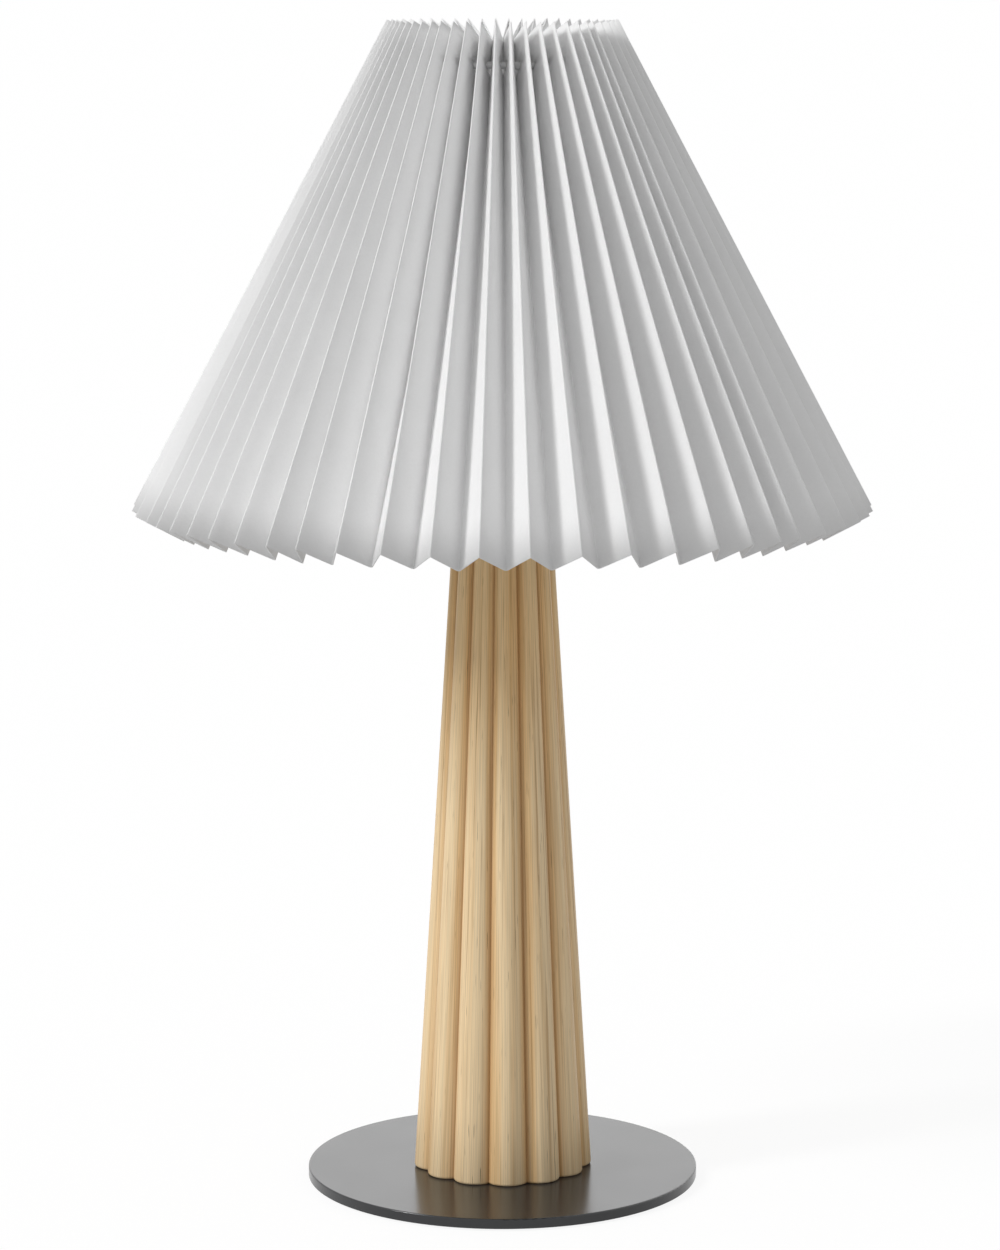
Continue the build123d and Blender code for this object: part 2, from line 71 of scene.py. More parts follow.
camera_data = bpy.data.cameras.new("camera")
camera_data.sensor_width = sensor_size
camera_data.lens = sensor_size * focal_pixels / frame_height_pixels
camera_data.clip_end = far_limit
camera = bpy.data.objects.new("camera", camera_data)
camera.location = (camera_sideways, -camera_distance, camera_height)
camera.rotation_euler = (pi / 2 - camera_tilt, 0, 0)
scene.collection.objects.link(camera)
scene.camera = camera
print(f"lens {camera_data.lens:.1f} mm")

# %% [markdown]
# ## Helpers for node trees
# A finish is a tree of shader nodes. A few small helpers keep the trees short to write: one fills
# sockets with values or links, one adds a node, and the others wrap the nodes that are used most.

# %% Node helpers
def fill(tree, node, sockets):
    """Fills sockets of a node, each with a link from another node or with a value of its own."""
    for key, value in sockets.items():
        if isinstance(value, bpy.types.NodeSocket):
            tree.links.new(value, node.inputs[key])
        else:
            node.inputs[key].default_value = value


def add_node(tree, kind, sockets=None, **settings):
    """Adds a node with its settings and fills the sockets that are given."""
    node = tree.nodes.new(kind)
    for name, value in settings.items():
        setattr(node, name, value)
    fill(tree, node, sockets or {})
    return node


def calculate(tree, operation, *values):
    """Output of a Math node."""
    node = add_node(tree, "ShaderNodeMath", dict(enumerate(values)), operation=operation)
    return node.outputs[0]


def scaled(tree, vector, factor):
    """A vector or colour times a number, which a Vector Math node holds in socket 3."""
    node = add_node(tree, "ShaderNodeVectorMath", {0: vector, 3: factor}, operation="SCALE")
    return node.outputs[0]


def remap(tree, value, low, high, to_low=0.0, to_high=1.0):
    """A value stretched from one range to another, smoothly and without going past its ends."""
    node = add_node(tree, "ShaderNodeMapRange", {
        "Value": value,
        "From Min": low,
        "From Max": high,
        "To Min": to_low,
        "To Max": to_high,
    }, interpolation_type="SMOOTHSTEP")
    return node.outputs["Result"]


def mix_colours(tree, factor, first, second, blend="MIX"):
    """Two colours mixed by a factor. A Mix node holds its colours in sockets 6 and 7."""
    sockets = {0: factor, 6: first, 7: second}
    node = add_node(tree, "ShaderNodeMix", sockets, data_type="RGBA", blend_type=blend)
    return node.outputs[2]


def object_coordinates(tree):
    """The piece's own coordinates in metres."""
    return add_node(tree, "ShaderNodeTexCoord").outputs["Object"]


# %% [markdown]
# A new material starts with a Principled shader. Where light should pass through the piece, a
# Translucent shader stands beside it, and a Mix Shader sets the share of each.

# %% Start a material
def new_material(name, glow=None, passes=0.0):
    """A material, its tree and its shader. A glow is the colour of the share that it passes on."""
    material = bpy.data.materials.new(name)
    material.use_nodes = True
    tree = material.node_tree
    tree.nodes.clear()
    shader = add_node(tree, "ShaderNodeBsdfPrincipled")
    surface = shader
    if glow:
        through = add_node(tree, "ShaderNodeBsdfTranslucent", {"Color": glow})
        shares = {0: passes, 1: shader.outputs[0], 2: through.outputs[0]}
        surface = add_node(tree, "ShaderNodeMixShader", shares)
    add_node(tree, "ShaderNodeOutputMaterial", {"Surface": surface.outputs[0]})
    return material, tree, shader


# %% [markdown]
# ## Floor and backdrop
# The lamp stands on a plain pale floor in a white studio. More light would make the floor whiter,
# but it would bleach the lamp too. So rays that come straight from the camera, or by way of a gloss
# or through glass, see a floor and a sky that are lifted to white, and the rays that light the lamp
# see plain ones. The floor keeps the lamp's shadow, because the lift is only added to its own
# light. The shadow is faint, because most of what the camera sees of the floor is the lift.

# %% Light the studio
white = (1.0, 1.0, 1.0, 1.0)
fill_strength = 0.475
white_strength = 1.0


def sees_white(tree):
    """One for rays that should see a white studio, zero for rays that carry light to the lamp."""
    path = add_node(tree, "ShaderNodeLightPath").outputs
    seen = calculate(tree, "MAXIMUM", path["Is Camera Ray"], path["Is Glossy Ray"])
    return calculate(tree, "MAXIMUM", seen, path["Is Transmission Ray"])


world = bpy.data.worlds.new("studio")
world.use_nodes = True
sky = world.node_tree
sky.nodes.clear()
fill_light = add_node(sky, "ShaderNodeBackground", {"Color": white, "Strength": fill_strength})
white_sky = add_node(sky, "ShaderNodeBackground", {"Color": white, "Strength": white_strength})
chosen_sky = add_node(sky, "ShaderNodeMixShader", {
    0: sees_white(sky),
    1: fill_light.outputs[0],
    2: white_sky.outputs[0],
})
add_node(sky, "ShaderNodeOutputWorld", {"Surface": chosen_sky.outputs[0]})
scene.world = world
scene.view_settings.view_transform = "Standard"
print(f"sky made, fill light {fill_strength}")

# %% [markdown]
# The floor is a wide disc under the lamp. It has to reach the horizon of every view, and nothing
# more, so a circle with its face filled in is enough.

# %% Lay the floor
floor_radius = 120.0
floor_sides = 128
floor_bounce = (0.6, 0.6, 0.6, 1.0)
floor_seen = (0.12, 0.12, 0.12, 1.0)
floor_lift = 0.9


def mesh_object(bm, name):
    """An object in the scene, with its mesh from a bmesh."""
    mesh = bpy.data.meshes.new(name)
    bm.to_mesh(mesh)
    bm.free()
    made = bpy.data.objects.new(name, mesh)
    scene.collection.objects.link(made)
    return made


floor_finish, tree, shader = new_material("studio_floor")
seen = sees_white(tree)
fill(tree, shader, {
    "Base Color": mix_colours(tree, seen, floor_bounce, floor_seen),
    "Roughness": 1.0,
    "Specular IOR Level": 0.0,
    "Emission Color": white,
    "Emission Strength": calculate(tree, "MULTIPLY", seen, floor_lift),
})

bm = bmesh.new()
bmesh.ops.create_circle(bm, cap_ends=True, segments=floor_sides, radius=floor_radius)
floor = mesh_object(bm, "studio_floor")
floor.data.materials.append(floor_finish)
print(f"floor made, {floor_radius:.0f} m to its edge")

# %% [markdown]
# ## The lights
# The pleats tell where the light comes from: each outer fold throws a shadow with a narrow soft
# edge on the facet to its right, and only a strip beside the next fold stays lit. That gives a
# source far round to the left. The shade's own shadow on the column fades slowly downwards instead,
# so the source is a tall strip: three suns above one another, each with a disc of a few degrees.
# Suns light the floor evenly up to the horizon, which a lamp close by would not. A broad weak light
# from behind shows as the sheen on the plate.

# %% Set the lights
key_azimuth = -64
key_elevations = (28, 36, 44)
key_strength = 1.62
key_width = 9
back_azimuth = 180
back_elevation = 18
back_strength = 0.4
back_width = 50


def around(radius, height, angle):
    """Point at a radius, a height and an angle in radians from the front towards +X."""
    return Vector((radius * sin(angle), -radius * cos(angle), height))


def add_sun(name, azimuth, elevation, strength, width):
    """A sun in a direction around and above the lamp, with its disc's width, all in degrees."""
    rise = radians(elevation)
    towards = around(cos(rise), sin(rise), radians(azimuth))
    data = bpy.data.lights.new(name, "SUN")
    data.energy = strength
    data.angle = radians(width)
    sun = bpy.data.objects.new(name, data)
    sun.rotation_euler = towards.to_track_quat("Z", "Y").to_euler()
    scene.collection.objects.link(sun)


sun_strength = key_strength / len(key_elevations)
for elevation in key_elevations:
    add_sun(f"key_{elevation}", key_azimuth, elevation, sun_strength, key_width)
add_sun("back", back_azimuth, back_elevation, back_strength, back_width)
print("lights set")

# %% [markdown]
# ## Effects that several finishes share
# Wood fibres, brushed metal and drawn wire all have long thin streaks. Paper, paint and plastic all
# have faint clouds of tone and a fine relief. Each of these is one node group with its own named
# inputs, so a finish only states the sizes that it needs.

# %% Helpers for node groups
def new_group(name, inputs, outputs):
    """An empty shader node group: its tree, its input sockets and the node for its results."""
    group = bpy.data.node_groups.new(name, "ShaderNodeTree")
    for socket, (kind, value) in inputs.items():
        made = group.interface.new_socket(socket, in_out="INPUT", socket_type=kind)
        if value is not None:
            made.default_value = value
    for socket, kind in outputs.items():
        group.interface.new_socket(socket, in_out="OUTPUT", socket_type=kind)
    given = add_node(group, "NodeGroupInput").outputs
    return group, given, add_node(group, "NodeGroupOutput")


def use_group(tree, group, **sockets):
    """Places a node group in a tree and returns its outputs."""
    return add_node(tree, "ShaderNodeGroup", sockets, node_tree=group).outputs


def noise(tree, vector, detail, roughness=0.5):
    """Noise whose spots are about one unit of its vector across."""
    sockets = {"Vector": vector, "Scale": 1.0, "Detail": detail, "Roughness": roughness}
    return add_node(tree, "ShaderNodeTexNoise", sockets).outputs["Fac"]


# %% [markdown]
# Streaks run along Z. They are noise that is squeezed across by a width and stretched along by a
# length.

# %% Streaks
streaks, given, result = new_group(
    "streaks",
    {
        "Vector": ("NodeSocketVector", None),
        "Width": ("NodeSocketFloat", 0.001),
        "Length": ("NodeSocketFloat", 0.05),
        "Detail": ("NodeSocketFloat", 2.0),
    },
    {"Streak": "NodeSocketFloat"},
)
parts = add_node(streaks, "ShaderNodeSeparateXYZ", {0: given["Vector"]}).outputs
squeezed = add_node(streaks, "ShaderNodeCombineXYZ", {
    axis: calculate(streaks, "DIVIDE", parts[axis], given[size])
    for axis, size in (("X", "Width"), ("Y", "Width"), ("Z", "Length"))
}).outputs[0]
fill(streaks, result, {"Streak": noise(streaks, squeezed, given["Detail"], roughness=0.6)})


def streak(tree, vector, width, length, detail):
    """Streaks of a width and a length in metres."""
    outputs = use_group(tree, streaks, Vector=vector, Width=width, Length=length, Detail=detail)
    return outputs["Streak"]


print("group:", streaks.name)

# %% [markdown]
# Clouds lighten and darken a colour, and give their tone as well, for a roughness that follows it.
# Relief is a fine even height, such as orange peel in paint or the tooth of paper, and a Bump node
# turns a height into the shader's normal.

# %% Clouds and relief
clouds, given, result = new_group(
    "clouds",
    {
        "Vector": ("NodeSocketVector", None),
        "Color": ("NodeSocketColor", (0.8, 0.8, 0.8, 1.0)),
        "Size": ("NodeSocketFloat", 0.01),
        "Amount": ("NodeSocketFloat", 0.05),
    },
    {"Color": "NodeSocketColor", "Tone": "NodeSocketFloat"},
)
finer = calculate(clouds, "DIVIDE", 1.0, given["Size"])
spots = noise(clouds, scaled(clouds, given["Vector"], finer), detail=4.0)
tone = calculate(clouds, "MULTIPLY_ADD", spots, 2.0, -1.0)
brightness = calculate(clouds, "MULTIPLY_ADD", tone, given["Amount"], 1.0)
fill(clouds, result, {"Color": scaled(clouds, given["Color"], brightness), "Tone": tone})

relief, given, result = new_group(
    "relief",
    {"Vector": ("NodeSocketVector", None), "Size": ("NodeSocketFloat", 0.0005)},
    {"Height": "NodeSocketFloat"},
)
finer = calculate(relief, "DIVIDE", 1.0, given["Size"])
spots = noise(relief, scaled(relief, given["Vector"], finer), detail=2.0)
fill(relief, result, {"Height": spots})


def bump(tree, shader, height, distance):
    """Lets a height shape the shader's normal. The distance is its real height in metres."""
    sockets = {"Height": height, "Distance": distance, "Strength": 1.0}
    node = add_node(tree, "ShaderNodeBump", sockets)
    fill(tree, shader, {"Normal": node.outputs["Normal"]})


def grainy(tree, shader, coords, size, height):
    """Gives the shader a fine even relief with grains of a size and a height in metres."""
    bump(tree, shader, use_group(tree, relief, Vector=coords, Size=size)["Height"], height)


print("groups:", clouds.name, relief.name)

# %% [markdown]
# ## The shade's sheet
# The shade is a white laminated paper: matt, a little uneven in tone, and thin enough that some
# light comes through. A Principled shader gives the matt face, and a Translucent shader beside it
# passes a small part of the light to the other side.

# %% Finish of the folded sheet
paper_colour = (0.972, 0.972, 0.972, 1.0)
paper_glow = (0.96, 0.96, 0.95, 1.0)
paper_passes = 0.05

paper, tree, shader = new_material("folded_paper", paper_glow, paper_passes)
coords = object_coordinates(tree)
tone = use_group(tree, clouds, Vector=coords, Color=paper_colour, Size=0.022, Amount=0.03)
tooth = use_group(tree, clouds, Vector=coords, Color=tone["Color"], Size=0.0012, Amount=0.03)
fill(tree, shader, {"Base Color": tooth["Color"], "Roughness": 0.75, "Specular IOR Level": 0.25})
grainy(tree, shader, coords, size=0.0006, height=0.00003)
print("paper made")

# %% [markdown]
# ## Pieces from bmesh
# A new piece starts as a bmesh, which holds vertices, edges and faces while operators shape it.
# Tubes and turned pieces grow ring by ring: a rim of edges is extruded, scaled about the axis and
# lifted, and so becomes the next rim. When a piece is done it becomes an object at the origin,
# rides on a body of the lamp and stands for the bare nodes that it replaces. Faces are smooth,
# except where they meet at more than a given angle.

# %% Grow rings and turn a bmesh into a piece of the lamp
def grow_ring(bm, rim, scale, lift):
    """Extrudes a rim of edges, scales the new rim about the axis and lifts it."""
    grown = bmesh.ops.extrude_edge_only(bm, edges=rim)["geom"]
    verts = [item for item in grown if isinstance(item, bmesh.types.BMVert)]
    bmesh.ops.scale(bm, verts=verts, vec=(scale, scale, 1))
    bmesh.ops.translate(bm, verts=verts, vec=(0, 0, lift))
    chosen = set(verts)
    edges = [item for item in grown if isinstance(item, bmesh.types.BMEdge)]
    return [edge for edge in edges if chosen.issuperset(edge.verts)]


def grow_rings(bm, rim, rings):
    """Grows rings from a rim, each with a size and a height from it. Returns the last rim."""
    size, height = 1.0, 0.0
    for next_size, next_height in rings:
        rim = grow_ring(bm, rim, next_size / size, next_height - height)
        size, height = next_size, next_height
    return rim


def finish_piece(bm, name, body, finish, replaced, smooth_angle):
    """A piece from a bmesh, with its body, its finish and the nodes that it replaces."""
    piece = mesh_object(bm, name)
    mesh = piece.data
    mesh.shade_smooth()
    mesh.set_sharp_from_angle(angle=radians(smooth_angle))
    mesh.materials.append(finish)
    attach(piece, body)
    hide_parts(*replaced)
    print(f"{name}: {len(mesh.polygons)} faces")
    return piece


# %% [markdown]
# ## The pleats
# The shade is one sheet with 54 pleats. It could be modelled as 108 flat panels, but then the folds
# would gape. Instead a plain tube is made first, row by row, and every vertex of the tube is then
# carried to its place on the folded cone: the angle around the tube says where it lies between an
# inner and an outer fold, and its row says how far it is from the foot to the top.

# %% Folds of the shade
pleat_count = 54
pleat_width = 0.0175
slant = radians(28.5)
rim_above_slot = 0.0129
slot_reach = 0.0052
slot_clearance = 0.0004
foot_radius = 0.150

ring_low, ring_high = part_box("carrier_ring")
wire_radius = (ring_high[2] - ring_low[2]) / 2
ring_height = (ring_high[2] + ring_low[2]) / 2
ring_radius = (ring_high[0] - ring_low[0]) / 2 - wire_radius

half_pitch = pi / pleat_count
slot_radius = ring_radius - slot_reach * cos(slant)
slot_height = ring_height - slot_reach * sin(slant)
square_to_slant = Vector((cos(slant), sin(slant)))


def fold_depth(radius, towards, half_opening=half_pitch):
    """Step between two folds, square to the slant, from the radius of one of them.

    Towards is 1 where that one is the outer fold, and -1 where it is the inner fold.
    """
    sag = 1 - cos(half_opening)
    level = radius * cos(slant) * sag
    return towards * level + sqrt(level**2 - 2 * radius**2 * sag + pleat_width**2)


foot_depth = fold_depth(foot_radius, 1)
inner_foot_radius = foot_radius - foot_depth * cos(slant)
inner_foot = Vector((
    inner_foot_radius,
    slot_height - (inner_foot_radius - slot_radius) / tan(slant),
))
outer_foot = inner_foot + square_to_slant * foot_depth
inner_top = Vector((
    slot_radius - rim_above_slot * sin(slant),
    slot_height + rim_above_slot * cos(slant),
))
outer_top = inner_top + square_to_slant * fold_depth(inner_top.x, -1)
slant_length = (inner_foot - inner_top).length
print("folds at the foot:", outer_foot, inner_foot)
print("folds at the top:", outer_top, inner_top)

# %% [markdown]
# Folded by hand, no two pleats are quite alike, so the folds drift a little from even spacing. The
# drift is a handful of given angles: how far a fold has moved along at some angles around the
# shade. Between them the drift changes evenly. The paper doesn't stretch, so a pleat that is
# pulled open is also shallower: at the foot its inner fold comes forward, and at the top, where the
# carrier's ring holds the inner folds, its outer fold goes back.

# %% Where each fold lies
fold_drift = {
    -180: 0.0, -77: 6.9, -63: 3.5, -50: 1.0, -37: 0.3, -30: -1.2, -23: -1.4, -3: 0.1,
    17: 2.1, 30: 2.8, 37: 2.7, 43: 1.9, 50: -0.5, 63: 0.0, 77: 0.6, 180: 0.0,
}
drift_stops = sorted(fold_drift)
angle_unevenness = radians(0.16)
radius_unevenness = 0.0004
slide_unevenness = 0.0002
shade_seed = 54


def drifted(angle):
    """Angle of a fold after its drift, from its even angle between -180 and 180 degrees."""
    high = next(stop for stop in drift_stops[1:] if angle <= stop)
    low = drift_stops[drift_stops.index(high) - 1]
    change = fold_drift[high] - fold_drift[low]
    return angle + fold_drift[low] + change * (angle - low) / (high - low)


draw = random.Random(shade_seed)
fold_angles = []
for index in range(2 * pleat_count):
    even = (index * 180 / pleat_count + 180) % 360 - 180
    fold_angles.append(radians(drifted(even)) + draw.uniform(-1, 1) * angle_unevenness)

folds = []
for index, angle in enumerate(fold_angles):
    before = fold_angles[index - 1]
    after = fold_angles[(index + 1) % len(fold_angles)]
    half_opening = (after - before) % (2 * pi) / 2
    if index % 2:
        foot = outer_foot
        top = inner_top + square_to_slant * fold_depth(inner_top.x, -1, half_opening)
    else:
        foot = outer_foot - square_to_slant * fold_depth(foot_radius, 1, half_opening)
        top = inner_top
    along = (top - foot).normalized() * draw.uniform(-1, 1) * slide_unevenness
    outwards = square_to_slant * draw.uniform(-1, 0) * radius_unevenness
    at_foot = around(*(foot + along + outwards), angle)
    at_top = around(*(top + along + outwards / 2), angle)
    folds.append((at_foot, at_top))
print(len(folds), "folds")

# %% [markdown]
# The tube has three strips of faces on each facet. The strip next to an inner fold carries the slot
# for the carrier's ring: seven rows of vertices lie close together there, and the ends of the slot
# are round because the strip's edge swells outwards by the slot's own half circle. Each facet also
# bows a little, because a sheet is never quite flat.

# %% Where each vertex of the tube goes
facet_count = 2 * pleat_count
facet_strips = 3
strip_mid = 0.82
rows_below = 12
rows_above = 3
slot_steps = 6
facet_bow = 0.00035

slot_half = wire_radius + slot_clearance
slot_part = 1 - rim_above_slot / slant_length
slot_turns = [asin(-1 + 2 * step / slot_steps) for step in range(slot_steps + 1)]
through = [slot_part + slot_half * sin(turn) / slant_length for turn in slot_turns]
below = [through[0] * row / rows_below for row in range(rows_below)]
room_above = 1 - through[-1]
above = [through[-1] + room_above * (row + 1) / rows_above for row in range(rows_above)]
row_parts = below + through + above
slot_first_row = len(below)
slot_last_row = slot_first_row + slot_steps
steps_around = facet_count * facet_strips
bows = [draw.uniform(-1, 1) * facet_bow for facet in range(facet_count)]


def strip_edge(strip, row):
    """How far a strip's edge lies from the inner fold, as a part of the facet's width."""
    if strip == 0:
        return 0.0
    if strip == facet_strips:
        return 1.0
    if strip == 2:
        return strip_mid
    reach = slot_reach
    if slot_first_row <= row <= slot_last_row:
        reach += slot_half * cos(slot_turns[row - slot_first_row])
    return reach / pleat_width


def sheet_point(step, row):
    """Place of the tube's vertex on the folded sheet."""
    facet, strip = divmod(step, facet_strips)
    rising = facet % 2 == 0
    inner = folds[facet if rising else (facet + 1) % len(folds)]
    outer = folds[(facet + 1) % len(folds) if rising else facet]
    part = strip_edge(strip if rising else facet_strips - strip, row)
    length = row_parts[row]
    on_inner = inner[0].lerp(inner[1], length)
    on_outer = outer[0].lerp(outer[1], length)
    across = (on_outer - on_inner).normalized()
    upwards = (inner[1] - inner[0]).normalized()
    swell = bows[facet] * 4 * part * (1 - part) * sin(pi * length)
    return on_inner.lerp(on_outer, part) + across.cross(upwards) * swell


print(len(row_parts), "rows of", steps_around, "vertices")

# %% [markdown]
# The tube is grown from a circle, one ring for each row. Each vertex's step around and its row are
# kept, because they tell which edges become folds and which faces lie inside a slot.

# %% Grow the tube
bm = bmesh.new()
bmesh.ops.create_circle(bm, segments=steps_around, radius=1.0)
grow_rings(bm, bm.edges[:], [(1.0, row) for row in range(1, len(row_parts))])

steps = {}
rows = {}
for vert in bm.verts:
    turn = atan2(vert.co.x, -vert.co.y) / (2 * pi)
    steps[vert] = round(turn * steps_around) % steps_around
    rows[vert] = round(vert.co.z)


def by_inner_fold(step):
    """True for a step on an inner fold or one strip away from it."""
    around_pleat = (step + 1) % (2 * facet_strips)
    return around_pleat <= 2


slot_faces = [
    face for face in bm.faces
    if all(by_inner_fold(steps[vert]) for vert in face.verts)
    and all(slot_first_row <= rows[vert] <= slot_last_row for vert in face.verts)
]


def lines_along(bm, remainder):
    """Edges that run up the sheet at steps with a given remainder within their pleat."""
    return [
        edge for edge in bm.edges
        if steps[edge.verts[0]] == steps[edge.verts[1]]
        and steps[edge.verts[0]] % (2 * facet_strips) == remainder
    ]


inner_lines = lines_along(bm, 0)
outer_lines = lines_along(bm, facet_strips)
print(len(inner_lines) + len(outer_lines), "edges on folds,", len(slot_faces), "faces in slots")

# %% [markdown]
# The vertices are carried to the folded cone, and the faces inside the slots are deleted. Then the
# folds are bevelled: the outer ones are creased sharp, and the inner ones, which nobody presses
# flat, stay a little rounder. A Solidify modifier gives the sheet its thickness.

# %% Fold the sheet
outer_fold_round = 0.00055
inner_fold_round = 0.0014
outer_fold_segments = 3
inner_fold_segments = 4
sheet_thickness = 0.0004

for vert in bm.verts:
    vert.co = sheet_point(steps[vert], rows[vert])
bmesh.ops.delete(bm, geom=slot_faces, context="FACES")
bmesh.ops.recalc_face_normals(bm, faces=bm.faces)
for lines, offset, segments in (
    (outer_lines, outer_fold_round, outer_fold_segments),
    (inner_lines, inner_fold_round, inner_fold_segments),
):
    bmesh.ops.bevel(
        bm,
        geom=[edge for edge in lines if edge.is_valid],
        offset=offset,
        segments=segments,
        profile=0.5,
        affect="EDGES",
        material=-1,
    )
shade = finish_piece(
    bm, "shade_pleats", "shade", paper, ["pleated_shade"], smooth_angle=25.0,
)
thickness = shade.modifiers.new("sheet thickness", "SOLIDIFY")
thickness.thickness = sheet_thickness
thickness.offset = 0.0

# %% [markdown]
# ## Wood
# The column is turned from a pale hardwood. Painted shade follows its reeds: the crests keep the
# pale wood, the flanks are painted warmer and the valleys between them darker, as their shade. A
# painted mask could tell these apart, but the distance to the axis does it too, once the column's
# taper is divided out of it. No two reeds show quite the same part of the grain, so each also has
# a tone of its own.

# %% Find crest, flank and valley on the wood, for its painted shade
reed_count = 13
reed_turn = radians(4)
column_low, column_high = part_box("column")
column_height = column_high[2] - column_low[2]
column_foot_radius = 0.0368
column_neck_radius = 0.0187
neck_scale = column_neck_radius / column_foot_radius
foot_valley_depth = 0.004
crest_depth = 0.0001
flank_depth = foot_valley_depth * 0.6

wood, tree, shader = new_material("pale_wood")
coords = object_coordinates(tree)
place = add_node(tree, "ShaderNodeSeparateXYZ", {0: coords}).outputs
forwards = calculate(tree, "MULTIPLY", place["Y"], -1.0)
turn = calculate(tree, "ARCTAN2", place["X"], forwards)
reeds_per_radian = reed_count / (2 * pi)
reed_offset = 0.5 - reed_turn * reeds_per_radian
reed = calculate(tree, "MULTIPLY_ADD", turn, reeds_per_radian, reed_offset)
reed = calculate(tree, "WRAP", calculate(tree, "FLOOR", reed), reed_count, 0.0)
reed_noise = add_node(tree, "ShaderNodeTexWhiteNoise", {"W": reed}, noise_dimensions="1D")
reed_tone = reed_noise.outputs["Value"]

flat = add_node(tree, "ShaderNodeCombineXYZ", {"X": place["X"], "Y": place["Y"]}).outputs[0]
radius = add_node(tree, "ShaderNodeVectorMath", {0: flat}, operation="LENGTH").outputs["Value"]
height = calculate(tree, "SUBTRACT", place["Z"], column_low[2])
shrink = (neck_scale - 1) / column_height
tapered = calculate(tree, "MULTIPLY_ADD", height, shrink, 1.0)
depth = calculate(tree, "SUBTRACT", column_foot_radius, calculate(tree, "DIVIDE", radius, tapered))
# Masks for painted shade: flank_shade grows from the crest down each flank, valley_shade from the
# flank into the valley.
flank_shade = remap(tree, depth, crest_depth, flank_depth)
valley_shade = remap(tree, depth, flank_depth, foot_valley_depth)
print(f"column {column_height:.3f} m high, {reed_count} reeds")

# %% [markdown]
# Seen close, the wood has broad bands of straw and honey, thin darker growth lines, fine fibres and
# a few brown pores, all running up the column. Each of these is the streak group at another size.
# Grain that ran straight up would leave the tapering surface after two centimetres and look like
# short dashes, so the coordinates across are widened with the height: the grain leans in with the
# reeds, though a little less than they do. Towards the neck a darker, warmer tint is painted on as
# the lampshade's shadow.

# %% Finish of the wooden column
straw = (0.96, 0.745, 0.46, 1.0)
honey = (0.81, 0.545, 0.27, 1.0)
brown = (0.43, 0.23, 0.09, 1.0)
pore_brown = (0.17, 0.085, 0.035, 1.0)
# Painted shadow: a darker, warmer tint towards the neck stands for the lampshade's shadow on the
# column.
under_shade_tint = (1.0, 0.92, 0.79, 1.0)
grain_lean = 0.88
reed_variation = 0.07
# Painted shade: how much warmer the flanks are painted, and how dark the valleys.
flank_shade_warmth = 0.12
valley_shade_strength = 0.65
under_shade_start = column_height * 0.5
under_shade_full = column_height * 0.8

narrowing = calculate(tree, "MULTIPLY_ADD", height, shrink * grain_lean, 1.0)
grain = add_node(tree, "ShaderNodeCombineXYZ", {
    "X": calculate(tree, "DIVIDE", place["X"], narrowing),
    "Y": calculate(tree, "DIVIDE", place["Y"], narrowing),
    "Z": place["Z"],
}).outputs[0]
bands = streak(tree, grain, width=0.006, length=0.35, detail=3.0)
lines = streak(tree, grain, width=0.0013, length=0.30, detail=2.0)
fibres = streak(tree, grain, width=0.0004, length=0.07, detail=1.0)
pores = streak(tree, grain, width=0.0005, length=0.016, detail=1.0)

banding = calculate(tree, "MULTIPLY_ADD", reed_tone, reed_variation, bands)
# Painted shade: the flanks are shifted towards honey, a warmer tone that stands for their shade.
banding = calculate(tree, "MULTIPLY_ADD", flank_shade, flank_shade_warmth, banding)
dark_lines = remap(tree, lines, low=0.52, high=0.76, to_high=0.6)
pale_lines = remap(tree, lines, low=0.46, high=0.26, to_high=0.35)
fibre_tone = remap(tree, fibres, low=0.3, high=0.7, to_low=0.88, to_high=1.07)
pore_marks = remap(tree, pores, low=0.70, high=0.78, to_high=0.7)
valley_shade_mix = calculate(tree, "MULTIPLY", valley_shade, valley_shade_strength)
# Painted shadow: the neck's share of the darker, warmer tint, where the lampshade's shadow falls.
under_shade_darkening = remap(tree, height, under_shade_start, under_shade_full)

colour = mix_colours(tree, remap(tree, banding, low=0.42, high=0.80), straw, honey)
colour = mix_colours(tree, dark_lines, colour, brown)
colour = mix_colours(tree, pale_lines, colour, straw)
colour = scaled(tree, colour, fibre_tone)
colour = mix_colours(tree, pore_marks, colour, pore_brown)
# Painted shade: brown darkens the valleys between the reeds.
colour = mix_colours(tree, valley_shade_mix, colour, brown)
# Painted shadow: the neck is tinted darker and warmer under the lampshade.
colour = mix_colours(tree, under_shade_darkening, colour, under_shade_tint, "MULTIPLY")
fill(tree, shader, {
    "Base Color": colour,
    "Roughness": remap(tree, lines, low=0.3, high=0.7, to_low=0.42, to_high=0.54),
    "Specular IOR Level": 0.25,
})
bump(tree, shader, fibres, distance=0.00002)
print("wood made")

# %% [markdown]
# ## The reeded column
# Thirteen convex reeds taper with the column. A circle is bent to the reeded outline at the foot,
# then grown ring by ring to the neck, so that every reed narrows in the same proportion. The foot's
# edge is eased by three smaller rings, as sandpaper eases it.

# %% Turn the column
points_per_reed = 16
column_rows = 10
edge_ease = 0.0012
ease_steps = 3

crest = column_foot_radius
valley_radius = crest - foot_valley_depth
half_reed = pi / reed_count
arc_centre = (crest**2 - valley_radius**2) / (2 * (crest - valley_radius * cos(half_reed)))
arc_radius = crest - arc_centre


def reeded_radius(angle):
    """Radius of the foot's outline at an angle from the front."""
    offset = (angle - reed_turn + half_reed) % (2 * half_reed) - half_reed
    return arc_centre * cos(offset) + sqrt(arc_radius**2 - (arc_centre * sin(offset)) ** 2)


bm = bmesh.new()
foot_points = reed_count * points_per_reed
bmesh.ops.create_circle(bm, segments=foot_points, radius=1.0)
for vert in bm.verts:
    step = round(atan2(vert.co.x, -vert.co.y) / (2 * pi) * foot_points)
    angle = reed_turn + half_reed + step * 2 * pi / foot_points
    vert.co = around(reeded_radius(angle), column_low[2] + edge_ease, angle)
foot_rim = bm.edges[:]

